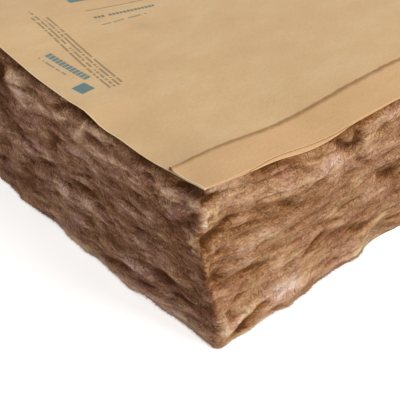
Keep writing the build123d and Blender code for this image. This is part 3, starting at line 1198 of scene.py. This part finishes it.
# Creases: for each, a hill across its line times a hill along it, in mm.
def creaseHeight(along, across):
    total = np.zeros_like(along)
    for middleAlong, middleAcross, turn, halfRun, halfSpan, amount in paperSet["creases"]:
        cosTurn, sinTurn = np.cos(np.radians(turn)), np.sin(np.radians(turn))
        onLine = (along - middleAlong) * cosTurn + (across - middleAcross) * sinTurn
        offLine = (across - middleAcross) * cosTurn - (along - middleAlong) * sinTurn
        total += amount * hill(onLine, 0, halfRun) * hill(offLine, 0, halfSpan)
    return total


# How far the inner fold wanders, by slow noise and hills, and how far the free edge is set back: by
# the least setback, hills, and, away from the ends, the size of the wander.
def pleatEdges(run, x, sideSign, fromEnd):
    foldPlace = np.stack([x, 900 * sideSign + 0 * x, 0 * x], axis=-1)  # other noise for each side
    wander = givenNoise(paperSet["flangeWander"], foldPlace)
    wander = addHills(wander, paperSet["flangeHills"], run)
    setback = addHills(paperSet["setback"], paperSet["setbackHills"], run)
    inside = softStep(fromEnd, *paperSet["setbackRange"])
    return wander, setback + paperSet["setbackWander"] * np.abs(wander) * inside


# The faces of a closed shell whose columns go out along its upper side and back along its lower
# one: quads between the columns, and at each end quads from the upper points to the lower ones.
def shellFaces(columns, rows):
    first = np.arange(columns - 1) * rows
    closing = np.stack([first + rows - 1, first + 2 * rows - 1, first + rows, first], axis=-1)
    j = np.arange(rows // 2 - 1)
    firstCap = np.stack([j, j + 1, rows - 2 - j, rows - 1 - j], axis=-1)
    lastCap = (columns - 1) * rows + firstCap[:, ::-1]
    return np.concatenate([gridQuads(columns, rows), closing, firstCap, lastCap])[:, ::-1]


# The sheet: the section mirrored and carried along the batt on the wool's height, with its
# normal offset by half the thickness to each side to make a closed shell. Near the cut ends the
# pleat stands open: by the lift times e to the minus distance from the end over the reach, times
# the cube of how near the point is to the inner fold. There the fold's loop curls up, and the cut
# strays and skews, all by e to the minus distance over their own reach.
def makePaper(material):
    half = [np.concatenate([sign * part[::-1], part[1:]])
            for part, sign in zip(paperSection(), (-1, 1, 1, 1, 1))]
    across, height, layer, foldShare, edgeShare = half
    fine, coarse = paperSet["fineStep"], paperSet["coarseStep"]
    reach, ease = paperSet["fineReach"], paperSet["stepEase"]
    run = gradedPlaces(0, 2 * halfLength,
                       lambda s: fine + (coarse - fine) * softStep(s, reach, reach + ease))
    rim = np.array([0, paperSet["rim"], paperSet["rim"] + paperSet["rimBlend"]])
    run = np.concatenate([rim, run[1:-1], run[-1] - rim[::-1]])[:, None]
    middle = np.stack([across, height], axis=-1)
    tangent = np.gradient(middle, axis=0)
    tangent /= np.linalg.norm(tangent, axis=1)[:, None]
    normal = np.stack([-tangent[:, 1], tangent[:, 0]], axis=-1) * paperSet["thickness"] / 2
    rolled = np.concatenate([[0], np.cumsum(np.linalg.norm(np.diff(middle, axis=0), axis=1))])
    rolled -= rolled[-1] / 2

    # both faces of the sheet as one loop: out along the upper face, back along the lower one
    def bothFaces(part, upper=1, lower=1):
        return np.concatenate([upper * part, lower * part[::-1]])[None]

    loop = np.concatenate([middle + normal, (middle - normal)[::-1]])
    layers, folds, edges = bothFaces(layer), bothFaces(foldShare), bothFaces(edgeShare)
    fromEnd = np.minimum(run, 2 * halfLength - run)
    nearEnd = np.exp(-fromEnd / paperSet["endReach"])
    sideSign = np.sign(loop[None, :, 0])
    x = endX + run + 0 * loop[None, :, 0]
    wander, setback = pleatEdges(run, x, sideSign, fromEnd)
    y = loop[None, :, 0] - sideSign * (folds * wander + edges * setback)
    # how far a point lies outside the inner fold, and how far a lower layer reaches past the free
    # edge, where -99 stands for the upper layer, which never does
    pastFold = np.abs(y) - (halfWidth - paperSet["flangeWidth"]) + wander
    pastEdge = np.where(layers < 1.5, np.abs(y) - (halfWidth - paperSet["sideIn"] - setback), -99)
    pastEdge = pastEdge - paperSet["edgeFade"] * (1 - softStep(setback, *paperSet["edgeFadeRange"]))
    edgePlace = np.stack([y * 0, y, 0 * y], axis=-1)
    x = x + givenNoise(paperSet["edgeWander"], edgePlace, nearEnd)
    skew = paperSet["cutSkew"] * np.exp(-run / paperSet["endReach"])
    x = x - skew * hill(y, sideY, paperSet["skewWidth"])
    inset = addHills(0, paperSet["insets"], run)
    y = y + inset * np.clip(1 - (y - sideY) / paperSet["flangeWidth"], 0, 1)
    opening = paperSet["pleatLift"] * np.exp(-fromEnd / paperSet["liftReach"])
    opening = opening * np.where(layers >= 1, folds, 0) ** 3
    curl = paperSet["loopLift"] * nearEnd * hill(folds, 1, paperSet["loopWidth"]) * (layers >= 1.5)
    crease = creaseHeight(x - endX, y - sideY)
    level = topHeight(x, y) + paperSet["thickness"] / 2 + paperSet["air"]
    z = level + loop[None, :, 1] + opening + curl + crease
    freeEdge = np.zeros(len(middle))
    freeEdge[[0, 1, -2, -1]] = paperSet["freeRim"]
    cutEnd = (fromEnd < paperSet["rim"] + 0.1) * 1.0  # the first two rings, with room for rounding
    shade, shadeMiddle, shadeReach = paperSet["loopShade"]
    paleRim = np.maximum(bothFaces(freeEdge), cutEnd)
    paleRim = paleRim * (1 - shade * hill(pastFold, shadeMiddle, shadeReach) * (layers > 0.9))
    flat = [(x - endX) * mm, bothFaces(rolled) * mm + 0 * x, layers + 0 * x]
    values = {
        "flatPlace": np.stack(flat, axis=-1).reshape(-1, 3),
        "outerFace": (bothFaces(np.ones(len(middle)), 1, 0) + 0 * x).ravel(),
        "paleRim": paleRim.ravel(),
        "crease": crease.ravel(),
        "pastFold": (pastFold + 0 * x).ravel(),
        "pastEdge": (pastEdge + 0 * x).ravel(),
    }
    faces = shellFaces(*x.shape)
    paper = makeMesh("kraftFacing", np.stack([x, y, z], axis=-1).reshape(-1, 3), [faces], material, values)
    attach(paper, "root")
    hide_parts("kraft_facing")
    print("paper:", *x.shape, "points,", 2 * len(faces), "triangles")


printSet = {
    "repeat": 610.0,  # mm along the batt from one print to the next
    "inks": {"olive": (104, 96, 70), "teal": (40, 112, 126), "grey": (84, 102, 98)},
    "dashShare": 0.82,  # how much of a dash and its gap the dash takes up
    # rows of dashes: start along and across, turn in degrees, length, rows, pitch, height of a dash
    # as a share of the pitch, length of a dash and its gap, share left out, ragged share, ink, strength
    "rows": (
        (51, 312, -95.8, 154, 4, 4.1, 0.5, 1.7, 0.2, 0.2, "olive", 0.8),
        (35, 182, 96, 50, 1, 8.0, 0.85, 4.2, 0.0, 0.0, "teal", 0.8),
        (22, 197, 96, 34, 1, 3.2, 0.6, 1.8, 0.15, 0.0, "teal", 0.7),
        (14, 164, 6, 13, 1, 13.0, 1.0, 40.0, 0.0, 0.0, "teal", 0.85),
        (98, 280, -10.6, 58, 1, 1.5, 0.9, 90.0, 0.0, 0.0, "olive", 0.7),
        (96, 263, -10, 60, 1, 4.6, 0.85, 3.6, 0.08, 0.0, "grey", 0.8),
        (94, 248.5, -5, 46, 1, 3.0, 0.7, 1.9, 0.2, 0.0, "grey", 0.7),
        (97, 303, -10, 19, 1, 18.0, 1.0, 40.0, 0.0, 0.0, "teal", 0.85),
    ),
}

# The inputs of the print's node group that take a row's turn and the numbers after it, in that order
printNumbers = ("Turn", "Length", "Rows", "Pitch", "Dash Height", "Cell", "Left Out", "Ragged")


# Rows of plain dashes. The place is turned about the start; u goes along a row and v across the
# rows. Ink lies where the row number floor(v / pitch) is one of the rows, where v is in the lower
# part of its row, where u is past the row's own ragged start and within the length, in the part of
# its cell that a dash takes up, and where the dash floor(u / cell) isn't left out.
def printedRowsGroup():
    inputs = [("Place", "Vector"), ("Start", "Vector"), *((name, "Float") for name in printNumbers)]
    tree, given = newGroup("printedRows", inputs, [("Mask", "Float")])
    turn = mathNode(tree, "MULTIPLY", given["Turn"], -1.0)
    turned = addNode(tree, "ShaderNodeVectorRotate",
                     {"Vector": given["Place"], "Center": given["Start"], "Angle": turn},
                     rotation_type="Z_AXIS")
    local = vectorNode(tree, "SUBTRACT", turned.outputs[0], given["Start"])
    parts = addNode(tree, "ShaderNodeSeparateXYZ", {0: local}).outputs
    rowPlace = mathNode(tree, "DIVIDE", parts["Y"], given["Pitch"])
    rowNumber = mathNode(tree, "FLOOR", rowPlace)
    dashPlace = mathNode(tree, "DIVIDE", parts["X"], given["Cell"])
    dashNumber = mathNode(tree, "FLOOR", dashPlace)
    seedPlace = addNode(tree, "ShaderNodeCombineXYZ", {0: dashNumber, 1: rowNumber, 2: given["Length"]})
    chance = addNode(tree, "ShaderNodeTexWhiteNoise", {"Vector": seedPlace.outputs[0]}).outputs["Value"]
    rowChance = addNode(tree, "ShaderNodeTexWhiteNoise", {"W": rowNumber}, noise_dimensions="1D")
    mostRagged = mathNode(tree, "MULTIPLY", given["Ragged"], given["Length"])
    ragged = mathNode(tree, "MULTIPLY", rowChance.outputs["Value"], mostRagged)
    tests = (
        ("GREATER_THAN", rowPlace, 0.0),
        ("LESS_THAN", rowPlace, given["Rows"]),
        ("LESS_THAN", mathNode(tree, "FRACT", rowPlace), given["Dash Height"]),
        ("GREATER_THAN", parts["X"], ragged),
        ("LESS_THAN", parts["X"], given["Length"]),
        ("LESS_THAN", mathNode(tree, "FRACT", dashPlace), printSet["dashShare"]),
        ("GREATER_THAN", chance, given["Left Out"]),
    )
    mask = 1.0
    for operation, value, limit in tests:
        mask = mathNode(tree, "MULTIPLY", mathNode(tree, operation, value, limit), mask)
    addNode(tree, "NodeGroupOutput", {"Mask": mask})
    return tree


# Brown kraft paper: slow blotches and fine pulp, rows of plain print, a painted shadow along the inner
# fold, past the free edge a thin painted shadow line and paler paper as a painted highlight, paper
# darker along the soft creases, pale rims at the cut edges with a painted shadow in the inner fold's
# loop, and a dark bitumen coat under the sheet. Each is laid over the ones before by its own share.
def kraftMaterial(printedRows):
    material, tree, shader = newMaterial("kraftPaper", {"Roughness": 0.62, "Specular IOR Level": 0.3})
    place = addNode(tree, "ShaderNodeTexCoord").outputs["Object"]
    pulp, blotches, foldNoise, foldWobble = (
        noiseNode(tree, place, *paperSet[key]) for key in ("pulp", "blotches", "foldNoise", "foldWobble"))

    def laidOver(below, share, key):
        return mixColours(tree, share, below, screenColour(*paperSet[key]))

    parts = addNode(tree, "ShaderNodeSeparateXYZ", {0: attributeNode(tree, "flatPlace", "Vector")}).outputs
    onPleat = rangeNode(tree, parts["Z"], 0.2, 0.5)
    onFlange = rangeNode(tree, parts["Z"], 0.3, 0.5)
    kraft = mixColours(tree, onFlange, rampNode(tree, blotches, paperSet["field"]),
                       rampNode(tree, blotches, paperSet["flange"]))
    along = mathNode(tree, "WRAP", mathNode(tree, "DIVIDE", parts["X"], mm), printSet["repeat"], 0.0)
    across = mathNode(tree, "MULTIPLY_ADD", parts["Y"], 1 / mm, halfWidth)
    flat = addNode(tree, "ShaderNodeCombineXYZ", {0: along, 1: across}).outputs[0]
    for startAlong, startAcross, turn, *numbers, ink, strength in printSet["rows"]:
        inputs = dict(zip(printNumbers, (np.radians(turn), *numbers)))
        inputs.update({"Place": flat, "Start": (startAlong, startAcross, 0)})
        marks = addNode(tree, "ShaderNodeGroup", inputs, node_tree=printedRows)
        cover = mathNode(tree, "MULTIPLY", marks.outputs["Mask"], strength)
        kraft = mixColours(tree, cover, kraft, screenColour(*printSet["inks"][ink]))
    # the painted shadow along the fold, in the gap under it, is full up to 2.8 mm on the sheet and gone
    # by 3.8 mm, and fades over the flange's first 3.4 mm, with both places moved by a wobble of 0.6 mm
    # each way
    pastFold = mathNode(tree, "ADD", attributeNode(tree, "pastFold"), -0.6)
    pastFold = mathNode(tree, "MULTIPLY_ADD", foldWobble, 1.2, pastFold)
    onSheet = mathNode(tree, "ADD", pastFold, 3.8, clamp=True)
    overFlange = mathNode(tree, "MULTIPLY_ADD", pastFold, -1 / 3.4, 1.0, clamp=True)
    foldShadowLine = mathNode(tree, "MULTIPLY", mathNode(tree, "MULTIPLY", onSheet, overFlange),
                        mathNode(tree, "MULTIPLY_ADD", foldNoise, 0.4, 0.68))
    kraft = laidOver(kraft, foldShadowLine, "foldShadowLine")
    # past the free edge: paler paper from 0.8 to 1.8 mm on, a painted highlight on the outer fold, and a
    # thin painted shadow line 0.4 mm from it
    pastEdge = attributeNode(tree, "pastEdge")
    beyond = mathNode(tree, "SUBTRACT", pastEdge, 0.8, clamp=True)
    kraft = laidOver(kraft, mathNode(tree, "MULTIPLY", beyond, 0.7), "pastEdge")
    offLine = mathNode(tree, "ABSOLUTE", mathNode(tree, "SUBTRACT", pastEdge, 0.4))
    edgeShadowLine = mathNode(tree, "MULTIPLY_ADD", offLine, -1 / 0.7, 1.0, clamp=True)
    edgeShadowLine = mathNode(tree, "MULTIPLY", edgeShadowLine, mathNode(tree, "MULTIPLY_ADD", foldNoise, 0.6, 0.4))
    kraft = laidOver(kraft, edgeShadowLine, "edgeShadowLine")
    # the paper is darker along the soft creases, by their height
    creaseDarkening = mathNode(tree, "MULTIPLY", attributeNode(tree, "crease"), 0.14)
    grain = rangeNode(tree, pulp, toLow=0.95, toHigh=1.04)
    shade = mathNode(tree, "MULTIPLY", grain, mathNode(tree, "SUBTRACT", 1.0, creaseDarkening))
    kraft = vectorNode(tree, "MULTIPLY", kraft, shade)
    # the rim is frayed, and below 0, in the fold's loop, it is dark: a painted shadow in the loop's open
    # end
    frayed = mathNode(tree, "MULTIPLY_ADD", foldNoise, 0.7, 0.35)
    rim = mathNode(tree, "MULTIPLY", attributeNode(tree, "paleRim"), frayed)
    kraft = laidOver(kraft, rim, "paleRim")
    kraft = laidOver(kraft, mathNode(tree, "MULTIPLY", rim, -1.4), "loopShadow")
    upper = mathNode(tree, "MAXIMUM", attributeNode(tree, "outerFace"), onPleat)
    coated = mixColours(tree, upper, screenColour(*paperSet["coat"]), kraft)
    bump = addNode(tree, "ShaderNodeBump", {"Strength": 0.4, "Distance": 0.0004, "Height": pulp})
    tree.links.new(coated, shader.inputs["Base Color"])
    tree.links.new(bump.outputs[0], shader.inputs["Normal"])
    return material


setCamera()
setLight()
makeFloor()
print("camera, light and floor set")
woolPattern = woolPatternGroup()
surface = makeWool(woolMaterial("mattedGlassWool", woolPattern, 0.0009))
fibreFinish = woolMaterial("looseGlassFibre", woolPattern, 0.0001)
# lengths along the outline: to the photographed corner, to the next one and all round
cornerRun = 2 * halfWidth
farRun = cornerRun + 2 * halfLength
wholeRun = farRun + cornerRun + 2 * halfLength
endRun = cornerRun - fibreSet["denseEnd"]
sideRun = cornerRun + fibreSet["denseSide"]
fringeRun = cornerRun + fibreSet["fringeSide"]
stretches = (
    # name, run from and to, strands, rings in a strand, scale
    ("cutEndFibres", endRun, cornerRun, 10800, 3, 1.0),
    ("nearSideFibres", cornerRun - 10, sideRun, 10800, 3, 1.0),
    ("cutEndFarFibres", 0, endRun, 4000, 2, 1.3),
    ("nearSideFarFibres", sideRun, farRun, 7200, 2, 1.8),
    ("backFibres", farRun, wholeRun, 7200, 2, 1.8),
    ("nearFringe", endRun, fringeRun, 5000, 2, 1.0),
    ("farFringe", fringeRun, wholeRun - fibreSet["denseEnd"], 3200, 2, 1.6),
)
for seed, (name, *stretch) in enumerate(stretches, 1):
    makeFibres(name, surface, *stretch, seed, fibreFinish, name.endswith("Fringe"))
makePaper(kraftMaterial(printedRowsGroup()))
